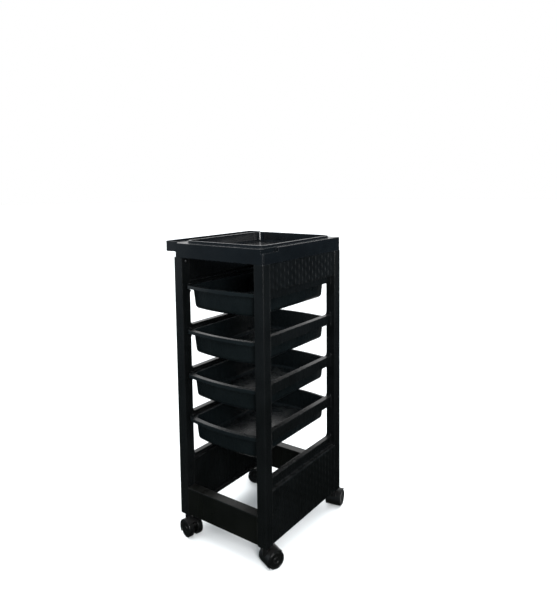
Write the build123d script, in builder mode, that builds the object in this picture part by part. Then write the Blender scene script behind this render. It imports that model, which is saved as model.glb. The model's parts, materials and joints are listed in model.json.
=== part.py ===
from build123d import *
from math import cos, radians, sin
import os

# Rolling salon trolley: two moulded side frames, a top tray, four drawers and four twin-wheel casters.
# Millimetres. +Z up, +X to the right and -Y to the front, seen by a person who pulls the drawers.
# The origin lies on the floor under the middle of the whole object's bounding box.

os.makedirs("parts", exist_ok=True)

# ---------------------------------------------------------------- driving dimensions
# Frame: its centre line stands off the origin because the tray overhangs to the left.
FRAME_X = 6.0
FRAME_Y = -7.6
FRAME_Z = 62.0            # frame's lower edge above the floor
FRAME_H = 760.0
FRAME_W = 318.0
FRAME_D = 388.0
WALL = 3.0

POST_X = 31.0             # post width, seen from the front
POST_Y = 31.0             # post depth, seen from the side
POST_ROUND = 4.0
POST_INNER_ROUND = 2.0
POST_BOSS = 80.0          # solid foot of each post

RAIL_TOPS = (176.0, 305.0, 434.0, 563.0, 692.0)
RAIL_H = 28.0
RAIL_T = 16.0             # rails are flush with the posts' inner faces
LEDGE_DROP = 15.0         # from the top of a rail down to its drawer ledge
LEDGE_REACH = 8.5         # ledge past the posts' inner faces
RAIL_END_GAP = 6.0        # rails stop short of the posts' front and rear faces
LEDGE_Y = 168.0           # ledges end behind the drawers' front lips
LEDGE_ROUND = 3.0
KEEPER_X = 6.0            # tabs over the drawers' flanges at the front posts
KEEPER_Y = 10.0
KEEPER_T = 2.5
KEEPER_GAP = 1.2
KEEPER_ROUND = 1.5
WINDOW_ROUND = 10.0

PANEL_INSET = 3.0         # woven panels behind the posts' outer faces
TOP_PANEL_Z = 686.0
LOW_PANEL_Z = 150.0

FRONT_BAR_Z = (4.0, 84.0)
REAR_BAR_Z = (10.0, 90.0)
BAR_ROUND = 2.0
RIB_T = 2.0
RIB_FOOT = 8.0            # ribs start above the channel's open edge

SCREW_Z = (50.0, 68.0)
SCREW_R = 1.7             # also the radius of the screws' pilot holes
SCREW_CLEAR_R = 2.05
PILOT_DEPTH = 12.5
HEAD_R = 3.6
HEAD_H = 2.4
BAR_SCREW_L = 14.5
TRAY_SCREW_L = 12.0

TRAY_LEFT = -192.0
TRAY_RIGHT = 159.0
TRAY_RIM_Z = 800.0
TRAY_RIM_ROUND = 2.5
SKIRT_STEP = 8.0          # the skirt stands in from the frame's left face
TRAY_BEAD = 6.0           # raised bead around the recess
BEAD_W = 9.0
BEAD_SLOPE = 25.0         # degrees
TRAY_FLOOR_Z = 776.0
TRAY_ROUND = 8.0
RECESS_X = (-131.0, 133.0)
RECESS_Y = (-165.0, 167.0)
RECESS_ROUND = 20.0
RECESS_DRAFT = 6.0        # degrees
RECESS_SOFT = 6.0
RIM_HOLLOW_X = 250.0      # hollows under the rim, in front of, behind and beside the recess
SIDE_HOLLOW_Y = (-105.0, 165.0)
WING_LIP_Z = 776.0        # lower edge of the overhanging strip
CURB_RIGHT = -148.0       # raised curb round the strip's outer edge ends here
CURB_H = 5.0
CURB_T = 4.0
CURB_ROOT = 3.0
SLOT_W = 22.0
SLOT_L = 40.0
SLOT_Y = (-141.0, -88.0, -35.0)
SLOT_ROUND = 7.0
SLOT_WALL = 2.0
NOTCH_REAR = -127.0       # cut in the outer rim beside the front right corner
NOTCH_DEPTH = 12.0
NOTCH_IN = 8.0
PLUG_H = 22.0
PLUG_W = 18.0
PLUG_GAP = 0.2
PLUG_PILOT = 10.0

DRAWER_RAILS = (305.0, 434.0, 563.0, 692.0)
DRAWER_HALF_W = 126.0
DRAWER_FRONT = -184.0     # front corners of the flange
DRAWER_REAR = 177.0       # rear corners of the flange
DRAWER_BOW = 13.0         # how far both ends bulge past their corners
DRAWER_DEPTH = 67.0
DRAWER_SKIN = 2.5
DRAWER_DRAFT = 6.0        # degrees
FLANGE_T = 3.0
FLANGE_ROUND = 12.0
BODY_HALF_W = 117.5
BODY_FRONT = -170.0
BODY_REAR = 173.0
BODY_ROUND = 20.0
BODY_SOFT = 14.0          # round between the body's walls and floor
LIP_T = 3.5
LIP_DROP = 8.0
LIP_RISE = 1.5
LIP_BACK = 8.0            # the lip runs this far back along the sides
LIP_ROUND = 1.2

WHEEL_R = 25.0
WHEEL_T = 16.5
WEB_T = 12.0
WHEEL_GAP = 0.5
TRAIL = 20.0
HOOD_R = 27.8
STEM_R = 4.0
SOCKET_R = 7.0
SOCKET_H = 40.0
AXLE_R = 3.0
AXLE_BOSS_R = 8.5
PIN_DEPTH = 12.5          # how far the axle enters each wheel
HOOD_GAP = 0.9            # between the wheels' treads and the hood
HOOD_SIDE = 1.0
GUARD_ARC = (50.0, 217.0) # degrees round the axle covered by the hood
NECK_R = 9.0
NECK_FOOT = 36.0
STEM_FOOT = 38.0
COLLAR_Z = 58.0
COLLAR_R = 8.0
COLLAR_T = 1.8
SOCKET_FLANGE = 2.0
SOCKET_FLANGE_R = 10.0
SOCKET_CAP = 2.5
RING_RISE = 27.0          # snap ring above the frame's lower edge
RING_T = 1.6
RING_OUT = 0.55           # ring past the stem's surface, and into it
RING_IN = 0.75
RING_SPLIT = 2.4
GROOVE_DEPTH = 0.8
GROOVE_PLAY = 0.4
POCKET_DEPTH = 0.9        # room for the ring in the socket
POCKET_PLAY = 0.5
RUNNING = 0.05
# Where each caster's wheels trail at rest, in degrees from +X.
CASTERS = {
    "front_right": (1, -1, 68),
    "front_left": (-1, -1, 345),
    "rear_right": (1, 1, 102),
    "rear_left": (-1, 1, 212),
}

# ---------------------------------------------------------------- derived places
OUT_X = FRAME_W / 2
OUT_Y = FRAME_D / 2
IN_X = OUT_X - POST_X
IN_Y = OUT_Y - POST_Y
MID_X = OUT_X - POST_X / 2
MID_Y = OUT_Y - POST_Y / 2


def level(z, x=0.0, y=0.0):
    """Horizontal plane at height z above the frame's lower edge, centred on the frame."""
    return Plane(origin=(FRAME_X + x, FRAME_Y + y, FRAME_Z + z), z_dir=(0, 0, 1))


def flank(x):
    """Upright plane facing +X at distance x from the frame's centre: local x is +Y, local y is +Z."""
    return Plane(origin=(FRAME_X + x, FRAME_Y, FRAME_Z), x_dir=(0, 1, 0), z_dir=(1, 0, 0))


def save(builder, name):
    builder.part.label = name
    export_step(builder.part, f"parts/{name}.step")


# ---------------------------------------------------------------- side frames
with BuildPart() as side_frame_right:
    # Posts, rounded on their outer edges.
    with BuildSketch(level(0)):
        with Locations((MID_X, MID_Y), (MID_X, -MID_Y)):
            Rectangle(POST_X, POST_Y)
    extrude(amount=FRAME_H)
    uprights = side_frame_right.edges().filter_by(Axis.Z)
    fillet(uprights.group_by(Axis.X)[-1], POST_ROUND)
    fillet(side_frame_right.edges().filter_by(Axis.Z).group_by(Axis.X)[0], POST_INNER_ROUND)

    # Ladder of rails with round-cornered windows, flush with the posts' inner faces.
    with BuildSketch(flank(IN_X)):
        foot = LOW_PANEL_Z - WALL
        with Locations((0, (foot + RAIL_TOPS[-1]) / 2)):
            Rectangle(2 * (OUT_Y - RAIL_END_GAP), RAIL_TOPS[-1] - foot)
        for bottom in RAIL_TOPS[:-1]:
            top = bottom + RAIL_TOPS[1] - RAIL_TOPS[0] - RAIL_H
            with Locations((0, (bottom + top) / 2)):
                RectangleRounded(2 * IN_Y, top - bottom, WINDOW_ROUND, mode=Mode.SUBTRACT)
    extrude(amount=RAIL_T)

    # Each rail is a light section: top flange, outer web and drawer ledge.
    for top in RAIL_TOPS:
        under = foot if top == RAIL_TOPS[0] else top - RAIL_H
        with BuildSketch(flank(IN_X)):
            with Locations((0, top - (LEDGE_DROP + WALL) / 2)):
                Rectangle(2 * IN_Y, LEDGE_DROP - WALL)
            low = (under - 1 + top - LEDGE_DROP - WALL) / 2
            with Locations((0, low)):
                Rectangle(2 * IN_Y, top - LEDGE_DROP - WALL - under + 1)
        extrude(amount=RAIL_T - WALL, mode=Mode.SUBTRACT)

    # Ledges that carry the drawers, and keeper tabs above them at the front posts.
    for top in DRAWER_RAILS:
        with BuildSketch(level(top - LEDGE_DROP - WALL)):
            with Locations((IN_X - LEDGE_REACH / 2 + 1, 0)):
                RectangleRounded(LEDGE_REACH + 2, 2 * LEDGE_Y, LEDGE_ROUND)
        extrude(amount=WALL)
        with BuildSketch(level(top - LEDGE_DROP + FLANGE_T + KEEPER_GAP)):
            with Locations((IN_X + 1 - KEEPER_X / 2, 4 - IN_Y - KEEPER_Y / 2)):
                RectangleRounded(KEEPER_X, KEEPER_Y, KEEPER_ROUND)
        extrude(amount=KEEPER_T)

    # Woven-look panels: a plate between the posts with a turned-in flange above and below.
    for low, high in ((0, LOW_PANEL_Z), (TOP_PANEL_Z, FRAME_H)):
        with BuildSketch(flank(OUT_X - PANEL_INSET - WALL)):
            with Locations((0, (low + high) / 2)):
                Rectangle(2 * IN_Y + 2, high - low)
        extrude(amount=WALL)
        for edge in (low, high - WALL):
            with BuildSketch(level(edge)):
                with Locations(((IN_X + RAIL_T - WALL + OUT_X - PANEL_INSET) / 2, 0)):
                    Rectangle(OUT_X - PANEL_INSET - IN_X - RAIL_T + WALL, 2 * IN_Y + 2)
            extrude(amount=WALL)

    # Hollow posts above their solid feet.
    with BuildSketch(level(POST_BOSS)):
        with Locations((MID_X, MID_Y), (MID_X, -MID_Y)):
            Rectangle(POST_X - 2 * WALL, POST_Y - 2 * WALL)
    extrude(amount=FRAME_H - POST_BOSS, mode=Mode.SUBTRACT)

    # Socket holes in the feet.
    with BuildSketch(level(0)):
        with Locations((MID_X, MID_Y), (MID_X, -MID_Y)):
            Circle(SOCKET_R)
    extrude(amount=SOCKET_H + 1, mode=Mode.SUBTRACT)

    # Pilot holes for the crossbar screws and clearance holes for the tray screws.
    with BuildSketch(flank(IN_X)):
        with Locations(*[(y, z) for y in (-MID_Y, MID_Y) for z in SCREW_Z]):
            Circle(SCREW_R)
    extrude(amount=PILOT_DEPTH, mode=Mode.SUBTRACT)
    with BuildSketch(flank(IN_X)):
        with Locations((-MID_Y, FRAME_H - PLUG_H / 2), (MID_Y, FRAME_H - PLUG_H / 2)):
            Circle(SCREW_CLEAR_R)
    extrude(amount=WALL, mode=Mode.SUBTRACT)

save(side_frame_right, "side_frame_right")

MIDDLE = Plane(origin=(FRAME_X, 0, 0), x_dir=(0, 1, 0), z_dir=(1, 0, 0))
with BuildPart() as side_frame_left:
    mirror(side_frame_right.part, about=MIDDLE)
save(side_frame_left, "side_frame_left")


# ---------------------------------------------------------------- crossbars
def crossbar(y_side, z_range):
    """Channel between the posts, open below, with a closed plate at each end."""
    low, high = z_range
    with BuildPart() as bar:
        with BuildSketch(level(low, y=y_side * MID_Y)):
            Rectangle(2 * IN_X, POST_Y)
        extrude(amount=high - low)
        fillet(bar.edges().filter_by(Axis.X).group_by(Axis.Z)[-1], BAR_ROUND)
        with BuildSketch(level(low, y=y_side * MID_Y)):
            Rectangle(2 * IN_X - 2 * WALL, POST_Y - 2 * WALL)
        extrude(amount=high - low - WALL, mode=Mode.SUBTRACT)
        for rib_x in (-IN_X / 3, IN_X / 3):
            with BuildSketch(level(low + RIB_FOOT, x=rib_x, y=y_side * MID_Y)):
                Rectangle(RIB_T, POST_Y - WALL)
            extrude(amount=high - low - RIB_FOOT - WALL / 2)
        with BuildSketch(flank(-IN_X)):
            with Locations(*[(y_side * MID_Y, z) for z in SCREW_Z]):
                Circle(SCREW_CLEAR_R)
        extrude(amount=2 * IN_X, mode=Mode.SUBTRACT)
    return bar


save(crossbar(-1, FRONT_BAR_Z), "front_crossbar")
save(crossbar(1, REAR_BAR_Z), "rear_crossbar")


# ---------------------------------------------------------------- top tray
tray_mid_x = (TRAY_LEFT + TRAY_RIGHT) / 2
tray_w = TRAY_RIGHT - TRAY_LEFT
recess_mid = (sum(RECESS_X) / 2, sum(RECESS_Y) / 2)
recess_w = RECESS_X[1] - RECESS_X[0]
recess_l = RECESS_Y[1] - RECESS_Y[0]
skirt_left = -OUT_X + SKIRT_STEP
slot_x = TRAY_LEFT + WALL + SLOT_WALL + SLOT_W / 2
plug_x = IN_X + WALL + PLUG_GAP + PLUG_W / 2
rim_hollow = TRAY_RIM_Z - WALL - WING_LIP_Z
with BuildPart() as top_tray:
    # Body over the frame, and the strip that overhangs it on the left.
    with BuildSketch(level(FRAME_H)):
        with Locations(((skirt_left + TRAY_RIGHT) / 2, 0)):
            Rectangle(TRAY_RIGHT - skirt_left, FRAME_D)
    extrude(amount=TRAY_RIM_Z - FRAME_H)
    with BuildSketch(level(WING_LIP_Z)):
        with Locations((tray_mid_x, 0)):
            Rectangle(tray_w, FRAME_D)
    extrude(amount=TRAY_RIM_Z - WING_LIP_Z)
    corners = top_tray.edges().filter_by(Axis.Z)
    fillet(corners.group_by(Axis.X)[0] + corners.group_by(Axis.X)[-1], TRAY_ROUND)
    fillet(top_tray.faces().sort_by(Axis.Z)[-1].edges(), TRAY_RIM_ROUND)

    # Curb round the strip's outer edge.
    with BuildSketch(level(TRAY_RIM_Z - CURB_ROOT)):
        with Locations((tray_mid_x, 0)):
            RectangleRounded(tray_w, FRAME_D, TRAY_ROUND)
            RectangleRounded(
                tray_w - 2 * CURB_T, FRAME_D - 2 * CURB_T, TRAY_ROUND - CURB_T, mode=Mode.SUBTRACT
            )
        with Locations((CURB_RIGHT + tray_w / 2, 0)):
            Rectangle(tray_w, FRAME_D, mode=Mode.SUBTRACT)
    extrude(amount=CURB_ROOT + CURB_H)
    fillet(top_tray.faces().sort_by(Axis.Z)[-1].edges(), 1)

    # Raised bead around the recess.
    with BuildSketch(level(TRAY_RIM_Z - 1)):
        with Locations(recess_mid):
            RectangleRounded(recess_w + 2 * BEAD_W, recess_l + 2 * BEAD_W, RECESS_ROUND + BEAD_W)
    extrude(amount=TRAY_BEAD + 1, taper=BEAD_SLOPE)

    # Recess with a sloping wall and a soft floor edge.
    with BuildPart(mode=Mode.PRIVATE) as hollow:
        with BuildSketch(level(TRAY_RIM_Z + TRAY_BEAD)):
            with Locations(recess_mid):
                RectangleRounded(recess_w, recess_l, RECESS_ROUND)
        extrude(amount=-(TRAY_RIM_Z + TRAY_BEAD - TRAY_FLOOR_Z), taper=RECESS_DRAFT)
        fillet(hollow.faces().sort_by(Axis.Z)[0].edges(), RECESS_SOFT)
    add(hollow.part, mode=Mode.SUBTRACT)

    # Underside hollows: below the floor, in the rim and in the overhanging strip.
    with BuildSketch(level(FRAME_H)):
        with Locations(((skirt_left + TRAY_RIGHT) / 2, 0)):
            Rectangle(TRAY_RIGHT - skirt_left - 2 * WALL, FRAME_D - 2 * WALL)
    extrude(amount=TRAY_FLOOR_Z - WALL - FRAME_H, mode=Mode.SUBTRACT)
    with BuildSketch(level(WING_LIP_Z - 1)):
        with Locations(((TRAY_LEFT + RECESS_X[0]) / 2, 0)):
            Rectangle(RECESS_X[0] - TRAY_LEFT - 2 * WALL, FRAME_D - 2 * WALL)
    extrude(amount=rim_hollow + 1, mode=Mode.SUBTRACT)
    with BuildSketch(level(TRAY_FLOOR_Z - WALL - 1)):
        for y_side in (-1, 1):
            inner = abs(RECESS_Y[0] if y_side < 0 else RECESS_Y[1]) + WALL
            with Locations((0, y_side * (inner + OUT_Y - WALL) / 2)):
                Rectangle(RIM_HOLLOW_X, OUT_Y - WALL - inner)
        with Locations(((RECESS_X[1] + TRAY_RIGHT) / 2, sum(SIDE_HOLLOW_Y) / 2)):
            Rectangle(TRAY_RIGHT - RECESS_X[1] - 2 * WALL, SIDE_HOLLOW_Y[1] - SIDE_HOLLOW_Y[0])
    extrude(amount=TRAY_RIM_Z - TRAY_FLOOR_Z + 1, mode=Mode.SUBTRACT)

    # Collars around the tool slots, then the slots themselves.
    with BuildSketch(level(WING_LIP_Z)):
        with Locations(*[(slot_x, y) for y in SLOT_Y]):
            RectangleRounded(SLOT_W + 2 * SLOT_WALL, SLOT_L + 2 * SLOT_WALL, SLOT_ROUND + SLOT_WALL)
    extrude(amount=TRAY_RIM_Z - WING_LIP_Z)
    with BuildSketch(level(WING_LIP_Z - 2)):
        with Locations(*[(slot_x, y) for y in SLOT_Y]):
            RectangleRounded(SLOT_W, SLOT_L, SLOT_ROUND)
    extrude(amount=TRAY_RIM_Z - WING_LIP_Z + 4, mode=Mode.SUBTRACT)

    # Notch in the outer rim beside the front right corner.
    with BuildSketch(level(TRAY_RIM_Z - NOTCH_DEPTH)):
        with Locations((TRAY_RIGHT - NOTCH_IN / 2 + 1, (NOTCH_REAR - OUT_Y) / 2 - 2)):
            Rectangle(NOTCH_IN + 2, NOTCH_REAR + OUT_Y + 4)
    extrude(amount=NOTCH_DEPTH + 1, mode=Mode.SUBTRACT)

    # Plugs that enter the posts, with pilot holes for their screws.
    with BuildSketch(level(FRAME_H - PLUG_H)):
        with Locations(*[(x, y) for x in (-plug_x, plug_x) for y in (-MID_Y, MID_Y)]):
            Rectangle(PLUG_W, POST_Y - 2 * WALL - 2 * PLUG_GAP)
    extrude(amount=PLUG_H + TRAY_FLOOR_Z - WALL - FRAME_H + 1)
    for x_side in (-1, 1):
        with BuildSketch(flank(x_side * (IN_X + WALL))):
            with Locations((-MID_Y, FRAME_H - PLUG_H / 2), (MID_Y, FRAME_H - PLUG_H / 2)):
                Circle(SCREW_R)
        extrude(amount=x_side * PLUG_PILOT, mode=Mode.SUBTRACT)

save(top_tray, "top_tray")


# ---------------------------------------------------------------- drawers
def drawer_outline(half_w, front, rear, corner):
    """Rectangle with bowed front and rear edges and round corners."""
    with BuildSketch() as outline:
        with BuildLine():
            ThreePointArc((-half_w, front), (0, front - DRAWER_BOW), (half_w, front))
            Line((half_w, front), (half_w, rear))
            ThreePointArc((half_w, rear), (0, rear + DRAWER_BOW), (-half_w, rear))
            Line((-half_w, rear), (-half_w, front))
        make_face()
        fillet(outline.vertices(), corner)
    return outline.sketch


def drawer(rail_top):
    """Tapered tray hung by its flange, with a rolled lip along the bowed front."""
    top = rail_top - LEDGE_DROP + FLANGE_T
    flange = drawer_outline(DRAWER_HALF_W, DRAWER_FRONT, DRAWER_REAR, FLANGE_ROUND)
    outside, inside = (
        drawer_outline(BODY_HALF_W - skin, BODY_FRONT + skin, BODY_REAR - skin, BODY_ROUND - skin)
        for skin in (0, DRAWER_SKIN)
    )
    with BuildPart() as tray:
        with BuildSketch(level(top - FLANGE_T)):
            add(flange)
        extrude(amount=FLANGE_T)
        with BuildSketch(level(top)):
            add(outside)
        extrude(amount=-DRAWER_DEPTH, taper=DRAWER_DRAFT)
        fillet(tray.faces().sort_by(Axis.Z)[0].edges(), BODY_SOFT)
        # Rolled lip: a bead on the front edge with a short skirt under it.
        with BuildSketch(level(top - LIP_DROP)):
            add(flange)
            offset(flange, amount=-LIP_T, mode=Mode.SUBTRACT)
            with Locations((0, DRAWER_REAR)):
                Rectangle(
                    3 * DRAWER_HALF_W, 2 * (DRAWER_REAR - DRAWER_FRONT - LIP_BACK), mode=Mode.SUBTRACT
                )
        extrude(amount=LIP_DROP + LIP_RISE)
        rims = tray.faces().filter_by(Axis.Z).group_by(Axis.Z)[-1].edges()
        fillet(rims, LIP_ROUND)
        # Hollow inside.
        with BuildPart(mode=Mode.PRIVATE) as hollow:
            with BuildSketch(level(top)):
                add(inside)
            extrude(amount=DRAWER_SKIN - DRAWER_DEPTH, taper=DRAWER_DRAFT)
            fillet(hollow.faces().sort_by(Axis.Z)[0].edges(), BODY_SOFT - DRAWER_SKIN)
        add(hollow.part, mode=Mode.SUBTRACT)
    return tray


for number, rail_top in enumerate(reversed(DRAWER_RAILS), start=1):
    save(drawer(rail_top), f"drawer_{number}")


# ---------------------------------------------------------------- screws
def screw(length):
    """Pan-head self-tapping screw along +Z, head below z = 0, with a cross recess."""
    with BuildPart() as pan:
        with BuildSketch(Plane.XY.offset(-HEAD_H)):
            Circle(HEAD_R)
        extrude(amount=HEAD_H)
        fillet(pan.edges().group_by(Axis.Z)[0], HEAD_H * 0.4)
        with BuildSketch(Plane.XY.offset(-HEAD_H)):
            Rectangle(HEAD_R, HEAD_R * 0.28)
            Rectangle(HEAD_R * 0.28, HEAD_R)
        extrude(amount=HEAD_H * 0.6, mode=Mode.SUBTRACT)
        with BuildSketch():
            Circle(SCREW_R)
        extrude(amount=length)
        chamfer(pan.edges().group_by(Axis.Z)[-1], length=SCREW_R * 0.7)
    return pan.part


def along_x(x, y, z, x_side):
    """Location on the frame whose local +Z points to the given side along X."""
    return Plane(origin=(FRAME_X + x, FRAME_Y + y, FRAME_Z + z), z_dir=(x_side, 0, 0)).location


bar_screw = screw(BAR_SCREW_L)
with BuildPart() as crossbar_screws:
    places = [
        along_x(x_side * (IN_X - WALL), y_side * MID_Y, z, x_side)
        for x_side in (-1, 1)
        for y_side in (-1, 1)
        for z in SCREW_Z
    ]
    with Locations(*places):
        add(bar_screw)
save(crossbar_screws, "crossbar_screws")

plug_screw = screw(TRAY_SCREW_L)
with BuildPart() as tray_screws:
    places = [
        along_x(x_side * IN_X, y_side * MID_Y, FRAME_H - PLUG_H / 2, x_side)
        for x_side in (-1, 1)
        for y_side in (-1, 1)
    ]
    with Locations(*places):
        add(plug_screw)
save(tray_screws, "tray_screws")

# ---------------------------------------------------------------- casters
# One caster is modelled on the stem's axis with its wheels trailing along +X, then placed four times.
RING_Z = FRAME_Z + RING_RISE
wheel_in = WEB_T / 2 + WHEEL_GAP
wheel_out = wheel_in + WHEEL_T
HUB = Plane(origin=(TRAIL, 0, WHEEL_R), x_dir=(0, 1, 0), z_dir=(1, 0, 0))
WHEEL_SIDE = Plane(origin=(TRAIL, 0, WHEEL_R), x_dir=(1, 0, 0), z_dir=(0, -1, 0))
AXLE_LINE = Axis((TRAIL, 0, WHEEL_R), (0, 1, 0))

with BuildPart() as wheel:
    with BuildSketch(HUB):
        with BuildLine():
            Polyline(
                (wheel_in, AXLE_R + RUNNING),
                (wheel_in + 13, AXLE_R + RUNNING),
                (wheel_in + 13, 0),
                (wheel_out - 0.6, 0),
                (wheel_out - 0.9, 6.5),
                (wheel_out - 2.4, 7.2),
                (wheel_out - 2.4, 8.6),
                (wheel_out - 1.6, 9.4),
                (wheel_out - 0.7, 19.6),
                (wheel_out - 1.5, 20.2),
                (wheel_out - 1.5, 20.8),
                (wheel_out, 21.4),
                (wheel_out - 0.3, 23),
            )
            TangentArc((wheel_out - 3, WHEEL_R), (wheel_out - 0.3, 23), tangent=(1, 0))
            Polyline(
                (wheel_out - 3, WHEEL_R),
                (wheel_in + 1.2, WHEEL_R),
                (wheel_in, WHEEL_R - 1.2),
                (wheel_in, 21),
                (wheel_in + 7, 19.5),
                (wheel_in + 7, 8),
                (wheel_in, 7),
                (wheel_in, AXLE_R + RUNNING),
            )
        make_face()
    revolve(axis=AXLE_LINE)

with BuildPart() as axle:
    with BuildSketch(HUB):
        with Locations((0, AXLE_R / 2)):
            Rectangle(2 * (wheel_in + PIN_DEPTH), AXLE_R)
    revolve(axis=AXLE_LINE)
    chamfer(axle.edges().filter_by(GeomType.CIRCLE), 0.5)

with BuildPart() as hood:
    # Mudguard over both wheels and the web between them.
    reach = 3 * HOOD_R
    start, end = ((reach * cos(radians(angle)), reach * sin(radians(angle))) for angle in GUARD_ARC)
    for half in (wheel_out + HOOD_SIDE, WEB_T / 2):
        with BuildSketch(WHEEL_SIDE):
            Circle(HOOD_R)
            with BuildLine():
                Polyline((0, 0), start, (-reach, reach), end, (0, 0))
            make_face(mode=Mode.INTERSECT)
        extrude(amount=half, both=True)
    with BuildSketch(WHEEL_SIDE):
        Circle(AXLE_BOSS_R)
    extrude(amount=WEB_T / 2, both=True)
    # Neck around the stem.
    with BuildSketch(Plane.XY.offset(NECK_FOOT)):
        Circle(NECK_R)
    extrude(amount=COLLAR_Z - NECK_FOOT)
    chamfer(hood.faces().sort_by(Axis.Z)[-1].edges(), 1)
    # Room for the two wheels, the stem and the axle.
    for near in (WEB_T / 2, -WEB_T / 2 - WHEEL_T - 4):
        with BuildSketch(WHEEL_SIDE.offset(near)):
            Circle(WHEEL_R + HOOD_GAP)
        extrude(amount=WHEEL_T + 4, mode=Mode.SUBTRACT)
    with BuildSketch(Plane.XY.offset(STEM_FOOT)):
        Circle(STEM_R)
    extrude(amount=COLLAR_Z, mode=Mode.SUBTRACT)
    with BuildSketch(WHEEL_SIDE):
        Circle(AXLE_R)
    extrude(amount=WEB_T, both=True, mode=Mode.SUBTRACT)

with BuildPart() as stem:
    with BuildSketch(Plane.XZ):
        with BuildLine():
            Polyline(
                (0, STEM_FOOT),
                (STEM_R, STEM_FOOT),
                (STEM_R, COLLAR_Z),
                (COLLAR_R, COLLAR_Z),
                (COLLAR_R, COLLAR_Z + COLLAR_T),
                (STEM_R, COLLAR_Z + COLLAR_T),
                (STEM_R, RING_Z),
                (STEM_R - GROOVE_DEPTH, RING_Z),
                (STEM_R - GROOVE_DEPTH, RING_Z + RING_T + GROOVE_PLAY),
                (STEM_R, RING_Z + RING_T + GROOVE_PLAY),
                (STEM_R, FRAME_Z + SOCKET_H - 5),
                (STEM_R - 1.5, FRAME_Z + SOCKET_H - 3),
                (0, FRAME_Z + SOCKET_H - 3),
                (0, STEM_FOOT),
            )
        make_face()
    revolve(axis=Axis.Z)

with BuildPart() as ring:
    with BuildSketch(Plane.XY.offset(RING_Z)):
        Circle(STEM_R + RING_OUT)
        Circle(STEM_R - RING_IN, mode=Mode.SUBTRACT)
        with Locations((STEM_R, 0)):
            Rectangle(STEM_R, RING_SPLIT, mode=Mode.SUBTRACT)
    extrude(amount=RING_T)

with BuildPart() as socket:
    with BuildSketch(Plane.XZ):
        with BuildLine():
            Polyline(
                (STEM_R + RUNNING, FRAME_Z - SOCKET_FLANGE),
                (SOCKET_FLANGE_R, FRAME_Z - SOCKET_FLANGE),
                (SOCKET_FLANGE_R, FRAME_Z),
                (SOCKET_R, FRAME_Z),
                (SOCKET_R, FRAME_Z + SOCKET_H - 1),
                (SOCKET_R - 1, FRAME_Z + SOCKET_H),
                (0, FRAME_Z + SOCKET_H),
                (0, FRAME_Z + SOCKET_H - SOCKET_CAP),
                (STEM_R + RUNNING, FRAME_Z + SOCKET_H - SOCKET_CAP),
                (STEM_R + RUNNING, RING_Z + RING_T + POCKET_PLAY),
                (STEM_R + POCKET_DEPTH, RING_Z + RING_T + POCKET_PLAY),
                (STEM_R + POCKET_DEPTH, RING_Z - POCKET_PLAY),
                (STEM_R + RUNNING, RING_Z - POCKET_PLAY),
                (STEM_R + RUNNING, FRAME_Z - SOCKET_FLANGE),
            )
        make_face()
    revolve(axis=Axis.Z)

with BuildPart() as wheel_mirrored:
    mirror(wheel.part, about=Plane.XZ)

PIECES = {
    "socket": socket,
    "stem": stem,
    "ring": ring,
    "hood": hood,
    "axle": axle,
    "wheel_a": wheel,
    "wheel_b": wheel_mirrored,
}
for corner, (x_side, y_side, swing) in CASTERS.items():
    place = Location((FRAME_X + x_side * MID_X, FRAME_Y + y_side * MID_Y, 0), (0, 0, swing))
    for piece_name, piece in PIECES.items():
        with BuildPart() as placed:
            with Locations(place):
                add(piece.part)
        save(placed, f"caster_{corner}_{piece_name}")
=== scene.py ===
import json
from math import cos, pi, radians, sin

import bmesh
import bpy
from mathutils import Matrix, Vector


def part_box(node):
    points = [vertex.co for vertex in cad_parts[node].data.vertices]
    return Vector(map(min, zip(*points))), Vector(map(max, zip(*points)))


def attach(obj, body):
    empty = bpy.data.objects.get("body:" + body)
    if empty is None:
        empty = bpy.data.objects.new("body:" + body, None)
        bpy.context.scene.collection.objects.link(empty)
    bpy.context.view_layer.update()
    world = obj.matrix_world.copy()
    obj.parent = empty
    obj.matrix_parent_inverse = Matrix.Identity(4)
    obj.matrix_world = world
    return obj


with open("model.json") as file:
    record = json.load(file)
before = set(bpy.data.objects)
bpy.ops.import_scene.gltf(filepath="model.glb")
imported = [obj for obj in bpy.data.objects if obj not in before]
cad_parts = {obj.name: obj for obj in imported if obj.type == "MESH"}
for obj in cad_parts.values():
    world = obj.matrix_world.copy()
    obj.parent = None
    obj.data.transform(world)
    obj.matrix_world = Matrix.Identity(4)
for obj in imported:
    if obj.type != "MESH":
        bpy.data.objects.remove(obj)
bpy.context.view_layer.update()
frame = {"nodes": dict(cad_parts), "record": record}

MM = 0.001
nodes = frame["nodes"]

left_low, left_high = (Vector(v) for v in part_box("side_frame_left"))
right_high = Vector(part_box("side_frame_right")[1])
# Middle of the two side frames, at their lower edge.
FRAME_FOOT = Vector(((left_low.x + right_high.x) / 2, (left_low.y + left_high.y) / 2, left_low.z))

# ---------------------------------------------------------------- camera
CAMERA_FROM_FOOT = Vector((1.03474, -1.33757, 0.9698))
CAMERA_AZIMUTH = 35.87        # degrees to the right of straight in front
CAMERA_ELEVATION = 5.74       # degrees that it looks down
CAMERA_ROLL = -0.6
SENSOR = 36
LENS = 34.75
SHIFT_Y = -0.1006


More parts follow.
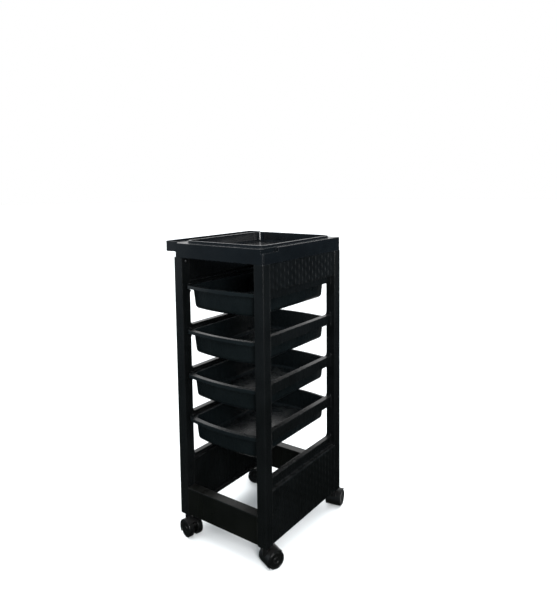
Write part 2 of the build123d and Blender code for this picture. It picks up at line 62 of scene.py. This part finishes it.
def make_camera():
    """Camera at the photograph's place, turned by azimuth, elevation and roll."""
    azimuth, elevation, roll = (radians(v) for v in (CAMERA_AZIMUTH, CAMERA_ELEVATION, CAMERA_ROLL))
    ahead = Vector((-sin(azimuth) * cos(elevation), cos(azimuth) * cos(elevation), -sin(elevation)))
    level_right = ahead.cross(Vector((0, 0, 1))).normalized()
    level_up = level_right.cross(ahead)
    right = level_right * cos(roll) + level_up * sin(roll)
    up = level_up * cos(roll) - level_right * sin(roll)
    data = bpy.data.cameras.new("camera")
    data.sensor_width = SENSOR
    data.lens = LENS
    data.shift_y = SHIFT_Y
    camera = bpy.data.objects.new("camera", data)
    bpy.context.collection.objects.link(camera)
    turn = Matrix((right, up, -ahead)).transposed().to_4x4()
    camera.matrix_world = Matrix.Translation(FRAME_FOOT + CAMERA_FROM_FOOT) @ turn
    bpy.context.scene.camera = camera


make_camera()


# ---------------------------------------------------------------- materials
class Nodes:
    """Short names for building a material's node tree."""

    def __init__(self, name):
        self.material = bpy.data.materials.new(name)
        self.material.use_nodes = True
        self.tree = self.material.node_tree
        self.tree.nodes.clear()
        self.place = self.add("ShaderNodeTexCoord").outputs["Object"]

    def add(self, kind, inputs=None, **settings):
        node = self.tree.nodes.new(kind)
        for key, value in settings.items():
            setattr(node, key, value)
        for key, value in (inputs or {}).items():
            if isinstance(value, bpy.types.NodeSocket):
                self.tree.links.new(value, node.inputs[key])
            else:
                node.inputs[key].default_value = value
        return node

    def noise(self, scale, detail, roughness, stretch=None):
        place = self.place
        if stretch:
            place = self.add("ShaderNodeMapping", {"Vector": place, "Scale": stretch}).outputs[0]
        return self.add(
            "ShaderNodeTexNoise",
            {"Vector": place, "Scale": scale, "Detail": detail, "Roughness": roughness},
        ).outputs["Fac"]

    def spread(self, value, low, high, to_low, to_high):
        """Smooth step from to_low, where the value is low, to to_high, where it is high."""
        return self.add(
            "ShaderNodeMapRange",
            {"Value": value, "From Min": low, "From Max": high, "To Min": to_low, "To Max": to_high},
            interpolation_type="SMOOTHSTEP",
        ).outputs[0]

    def math(self, operation, a, b=0.0, clamp=False):
        return self.add("ShaderNodeMath", {0: a, 1: b}, operation=operation, use_clamp=clamp).outputs[0]

    def mix(self, factor, a, b):
        """Colour a where the factor is 0 and b where it is 1."""
        node = self.tree.nodes.new("ShaderNodeMix")
        node.data_type = "RGBA"
        for socket, value in ((node.inputs[0], factor), (node.inputs[6], a), (node.inputs[7], b)):
            if isinstance(value, bpy.types.NodeSocket):
                self.tree.links.new(value, socket)
            elif socket.type == "RGBA":
                socket.default_value = (*value, 1)
            else:
                socket.default_value = value
        return node.outputs[2]

    def dot(self, a, b):
        return self.add("ShaderNodeVectorMath", {0: a, 1: b}, operation="DOT_PRODUCT").outputs["Value"]

    def bump(self, strength, distance, height, normal=None):
        inputs = {"Strength": strength, "Distance": distance, "Height": height}
        if normal:
            inputs["Normal"] = normal
        return self.add("ShaderNodeBump", inputs).outputs[0]

    def glow(self, colour, strength):
        return self.finish(
            self.add("ShaderNodeEmission", {"Color": colour, "Strength": strength}).outputs[0]
        )

    def finish(self, shader):
        self.add("ShaderNodeOutputMaterial", {"Surface": shader})
        return self.material


# Share by which rounded edges are painted paler: part wear, part painted highlight.
EDGE_WEAR_AND_HIGHLIGHT = 0.5
DUST = 0.25
DUST_COLOUR = (0.30, 0.29, 0.28)
DUST_COVER = 0.12
GRAIN_SCALE = 900
GRAIN_DEPTH = 0.06 * MM
SPECK_SCALE = 2100
SPECULAR = 0.4


def moulded_plastic(name, dark, pale, rough, grain=0.35, edge=1.6 * MM):
    """Black moulded plastic: cloudy gloss, a fine tool-texture grain, rounded shiny edges painted paler in
    patches as wear and as a painted highlight, and a little dust.
    """
    kit = Nodes(name)
    cloud = kit.noise(9, 5, 0.6)
    streak = kit.noise(26, 4, 0.55, stretch=(1, 1, 0.18))
    fine = kit.noise(GRAIN_SCALE, 2, 0.6)
    speck = kit.noise(SPECK_SCALE, 1, 0.5)

    # Edges are where the rounded normal leaves the true one; there the colour is painted paler in patches,
    # partly as wear and partly as a painted highlight.
    soft = kit.add("ShaderNodeBevel", {"Radius": edge}, samples=6).outputs[0]
    true = kit.add("ShaderNodeNewGeometry").outputs["Normal"]
    edges = kit.spread(kit.dot(soft, true), 0.995, 0.86, 0.0, 1.0)
    patchy = kit.spread(kit.noise(55, 4, 0.65), 0.42, 0.62, 0.15, 1.0)
    worn_and_highlit = kit.math("MULTIPLY", kit.math("MULTIPLY", edges, patchy), EDGE_WEAR_AND_HIGHLIGHT)
    base = kit.mix(kit.spread(cloud, 0.35, 0.65, 0.0, 1.0), dark, pale)
    rubbed_and_highlit = kit.mix(worn_and_highlit, base, tuple(c * 5 + 0.02 for c in pale))

    # Dust lies on what faces up.
    facing_up = kit.add("ShaderNodeSeparateXYZ", {0: true}).outputs["Z"]
    lying = kit.spread(facing_up, 0.6, 1.0, 0.0, DUST)
    dusty = kit.math("MULTIPLY", lying, kit.spread(streak, 0.4, 0.7, 0.1, 1.0))
    colour = kit.mix(kit.math("MULTIPLY", dusty, DUST_COVER), rubbed_and_highlit, DUST_COLOUR)

    gloss = kit.spread(streak, 0.3, 0.7, rough - 0.02, rough + 0.03)
    gloss = kit.math("ADD", gloss, kit.math("MULTIPLY", kit.spread(speck, 0.45, 0.75, 0.0, 1.0), 0.06))
    gloss = kit.math("ADD", gloss, kit.math("MULTIPLY", dusty, 0.25), clamp=True)
    waves = kit.bump(0.06, 0.6 * MM, cloud, soft)
    skin = kit.bump(grain, GRAIN_DEPTH, fine, waves)
    shader = kit.add(
        "ShaderNodeBsdfPrincipled",
        {
            "Base Color": colour,
            "Roughness": gloss,
            "Normal": skin,
            "IOR": 1.5,
            "Specular IOR Level": SPECULAR,
        },
    ).outputs[0]
    return kit.finish(shader)


def steel(name, tint, rough):
    """Zinc-plated steel with turning marks and dull patches."""
    kit = Nodes(name)
    turned = kit.noise(160, 3, 0.6, stretch=(1, 1, 14))
    patch = kit.noise(70, 4, 0.6)
    colour = kit.mix(kit.spread(patch, 0.35, 0.7, 0.0, 1.0), tint, tuple(c * 0.72 for c in tint))
    gloss = kit.spread(turned, 0.3, 0.7, rough - 0.06, rough + 0.12)
    shader = kit.add(
        "ShaderNodeBsdfPrincipled",
        {
            "Base Color": colour,
            "Metallic": 1.0,
            "Roughness": gloss,
            "Normal": kit.bump(0.3, 0.05 * MM, turned),
        },
    ).outputs[0]
    return kit.finish(shader)


MATERIALS = {
    "side_frame": moulded_plastic(
        "frame_black", (0.0019, 0.0023, 0.0024), (0.0032, 0.0038, 0.0040), 0.25, edge=2.6 * MM
    ),
    "crossbar": moulded_plastic(
        "crossbar_black", (0.0018, 0.0020, 0.0016), (0.0031, 0.0034, 0.0028), 0.28
    ),
    "top_tray": moulded_plastic(
        "tray_black", (0.0018, 0.0025, 0.0034), (0.0034, 0.0045, 0.0057), 0.18, grain=0.2, edge=2.2 * MM
    ),
    "drawer": moulded_plastic(
        "drawer_black", (0.0025, 0.0041, 0.0048), (0.0041, 0.0061, 0.0068), 0.24
    ),
    "caster_hood": moulded_plastic(
        "hood_black", (0.0023, 0.0023, 0.0023), (0.0041, 0.0041, 0.0041), 0.32, edge=0.6 * MM
    ),
    "caster_wheel": moulded_plastic(
        "wheel_black", (0.0020, 0.0020, 0.0020), (0.0036, 0.0036, 0.0034), 0.28, edge=1.4 * MM
    ),
    "caster_socket": moulded_plastic(
        "socket_black", (0.0036, 0.0036, 0.0036), (0.0055, 0.0055, 0.0055), 0.50, edge=0.4 * MM
    ),
    "steel": steel("zinc_steel", (0.62, 0.62, 0.63), 0.28),
    "screws": steel("dark_screws", (0.22, 0.22, 0.23), 0.35),
}


def mesh_object(name, shape, material):
    """Object made from a finished bmesh."""
    mesh = bpy.data.meshes.new(name)
    shape.to_mesh(mesh)
    shape.free()
    mesh.materials.append(material)
    thing = bpy.data.objects.new(name, mesh)
    bpy.context.collection.objects.link(thing)
    return thing


slot_of = {row["node"]: row["material_slot"] for row in frame["record"]["subparts"]}
for name, node in nodes.items():
    node.data.materials.clear()
    node.data.materials.append(MATERIALS[slot_of[name]])


# ---------------------------------------------------------------- woven relief on the side panels
PLATE_X = 156 * MM            # outer face of the panel plates, from the frame's centre line
PLATE_HALF_Y = 163 * MM
TOP_WEAVE = (688 * MM, 758 * MM)
LOW_WEAVE = (2 * MM, 148 * MM)
WOVEN_HIGH = 1.5 * MM
STRAND_PITCH = 17.2 * MM
WEAVE_PERIOD = 25 * MM
WEAVE_FLOOR = 0.12            # share of the height that stays in the grooves
DIP_FLOOR = 0.25              # share of a strand's ridge that stays where it dips
CELL = 1.3 * MM
RIM_SINK = 0.3 * MM           # the sheet's rim ends inside the plate


def weave_height(y, z):
    """Staggered oval strands: each column bulges where its neighbours dip."""
    column, across = divmod(y / STRAND_PITCH, 1)
    wave = 0.5 + 0.5 * cos(2 * pi * (z / WEAVE_PERIOD + 0.5 * (int(column) % 2)))
    ridge = sin(pi * across) ** 0.75
    bulge = ridge * (DIP_FLOOR + (1 - DIP_FLOOR) * wave**0.8)
    return WOVEN_HIGH * (WEAVE_FLOOR + (1 - WEAVE_FLOOR) * bulge)


def woven_skin(name, side, low, high):
    """Relief sheet laid on a panel plate; side is +1 for the right frame and -1 for the left."""
    across = round(2 * PLATE_HALF_Y / CELL)
    upward = round((high - low) / CELL)
    shape = bmesh.new()
    rows = []
    for j in range(-1, upward + 2):
        z = low + (high - low) * min(max(j, 0), upward) / upward
        row = []
        for i in range(-1, across + 2):
            y = -PLATE_HALF_Y + 2 * PLATE_HALF_Y * min(max(i, 0), across) / across
            rim = i in (-1, across + 1) or j in (-1, upward + 1)
            lift = -RIM_SINK if rim else weave_height(y + PLATE_HALF_Y, z)
            row.append(shape.verts.new(FRAME_FOOT + Vector((side * (PLATE_X + lift), y, z))))
        rows.append(row)
    for lower, upper in zip(rows, rows[1:]):
        for k in range(len(lower) - 1):
            quad = [lower[k], lower[k + 1], upper[k + 1], upper[k]]
            shape.faces.new(quad if side > 0 else quad[::-1])
    for face in shape.faces:
        face.smooth = True
    skin = mesh_object(name, shape, MATERIALS["side_frame"])
    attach(skin, "frame")


for side_name, side in (("right", 1), ("left", -1)):
    woven_skin(f"woven_top_{side_name}", side, *TOP_WEAVE)
    woven_skin(f"woven_low_{side_name}", side, *LOW_WEAVE)

# ---------------------------------------------------------------- studio
FLOOR_REACH = 30
FLOOR_TONES = ((0.86, 0.86, 0.86), (0.89, 0.89, 0.89))
SWEEP_GLOW = 1.0              # the white sweep behind the trolley, seen directly and in glancing reflections
SWEEP_EDGE = (0.60, 0.85)     # cosine of the angle from straight behind, from room to sweep
ROOM_HIGH = (0.13, 0.175, 0.21)   # the dim room on the camera's side, level with the trolley's top
ROOM_LOW = (0.018, 0.022, 0.016)  # the same room as the lower faces mirror it
ROOM_FADE = (-0.45, -0.05)
ROOM_RIGHT = 0.40             # how much of that is left toward the right
AMBIENT = (0.85, 0.95, 1.0, 1)
AMBIENT_STRENGTH = 0.9
OVERHEAD_POWER = 3.3
OVERHEAD_SPREAD = 80
OVERHEAD_TILT = (-12, -8)
# Name, place, aim, width and height, watts.
AREA_LIGHTS = (
    ("left", (-2.4, -1.6, 1.1), (0, 0, 0.4), (1.0, 2.0), 4),
    ("right", (2.6, 0.6, 1.2), (0, 0, 0.45), (1.0, 2.0), 3),
    ("front", (1.9, -1.7, 1.5), (0, 0, 0.6), (0.6, 1.4), 75),
)


def stage_mesh(name, shape, material, **visibility):
    thing = mesh_object(name, shape, material)
    for key, value in visibility.items():
        setattr(thing, key, value)


def dome(name, radius, material, **visibility):
    """Glowing sphere round the whole stage that lights nothing by itself."""
    shape = bmesh.new()
    bmesh.ops.create_icosphere(shape, subdivisions=5, radius=radius)
    unseen = {"visible_diffuse": False, "visible_transmission": False, "visible_shadow": False}
    stage_mesh(name, shape, material, **unseen, **visibility)


def make_floor():
    shape = bmesh.new()
    bmesh.ops.create_grid(shape, x_segments=4, y_segments=4, size=FLOOR_REACH)
    kit = Nodes("pale_floor")
    tone = kit.mix(kit.spread(kit.noise(3, 3, 0.5), 0.3, 0.7, 0.0, 1.0), *FLOOR_TONES)
    shader = kit.add(
        "ShaderNodeBsdfPrincipled",
        {"Base Color": tone, "Roughness": 0.8, "Specular IOR Level": 0.1},
    ).outputs[0]
    stage_mesh("floor", shape, kit.finish(shader), visible_glossy=False, visible_diffuse=False)


def make_sweep():
    """White surroundings, as the camera sees them directly."""
    dome("sweep", FLOOR_REACH * 0.95, Nodes("white_sweep").glow((1, 1, 1, 1), SWEEP_GLOW), visible_glossy=False)


def make_room():
    """Surroundings as the plastic mirrors them: bright behind the trolley, dim on the camera's side."""
    kit = Nodes("mirrored_room")
    towards = kit.add("ShaderNodeVectorMath", {0: kit.place}, operation="NORMALIZE").outputs[0]
    across, along = sin(radians(CAMERA_AZIMUTH)), cos(radians(CAMERA_AZIMUTH))
    height = kit.add("ShaderNodeSeparateXYZ", {0: towards}).outputs["Z"]
    room = kit.mix(kit.spread(height, *ROOM_FADE, 0.0, 1.0), ROOM_LOW, ROOM_HIGH)
    dim = kit.spread(kit.dot(towards, (across, along, 0)), -0.6, 0.6, 1.0, ROOM_RIGHT)
    room = kit.add("ShaderNodeVectorMath", {0: room, "Scale": dim}, operation="SCALE").outputs[0]
    behind = kit.spread(kit.dot(towards, (-across, along, 0)), *SWEEP_EDGE, 0.0, 1.0)
    mirrored = kit.glow(kit.mix(behind, room, (SWEEP_GLOW,) * 3), 1.0)
    dome("room", FLOOR_REACH * 0.9, mirrored, visible_camera=False)


def add_light(name, data):
    light = bpy.data.objects.new(name, data)
    bpy.context.collection.objects.link(light)
    return light


def overhead_light():
    """Very soft light from almost straight above."""
    data = bpy.data.lights.new("overhead", "SUN")
    data.energy = OVERHEAD_POWER
    data.angle = radians(OVERHEAD_SPREAD)
    add_light("overhead", data).rotation_euler = (*(radians(v) for v in OVERHEAD_TILT), 0)


def area_light(name, place, aim, size, power):
    data = bpy.data.lights.new(name, "AREA")
    data.shape = "RECTANGLE"
    data.size, data.size_y = size
    data.energy = power
    light = add_light(name, data)
    light.location = place
    light.rotation_mode = "QUATERNION"
    light.rotation_quaternion = (Vector(aim) - Vector(place)).to_track_quat("-Z", "Y")


def make_studio():
    bpy.context.scene.view_settings.view_transform = "Standard"
    world = bpy.data.worlds.new("studio")
    world.use_nodes = True
    background = world.node_tree.nodes["Background"]
    background.inputs["Color"].default_value = AMBIENT
    background.inputs["Strength"].default_value = AMBIENT_STRENGTH
    bpy.context.scene.world = world
    make_floor()
    make_sweep()
    make_room()
    overhead_light()
    for light in AREA_LIGHTS:
        area_light(*light)


make_studio()
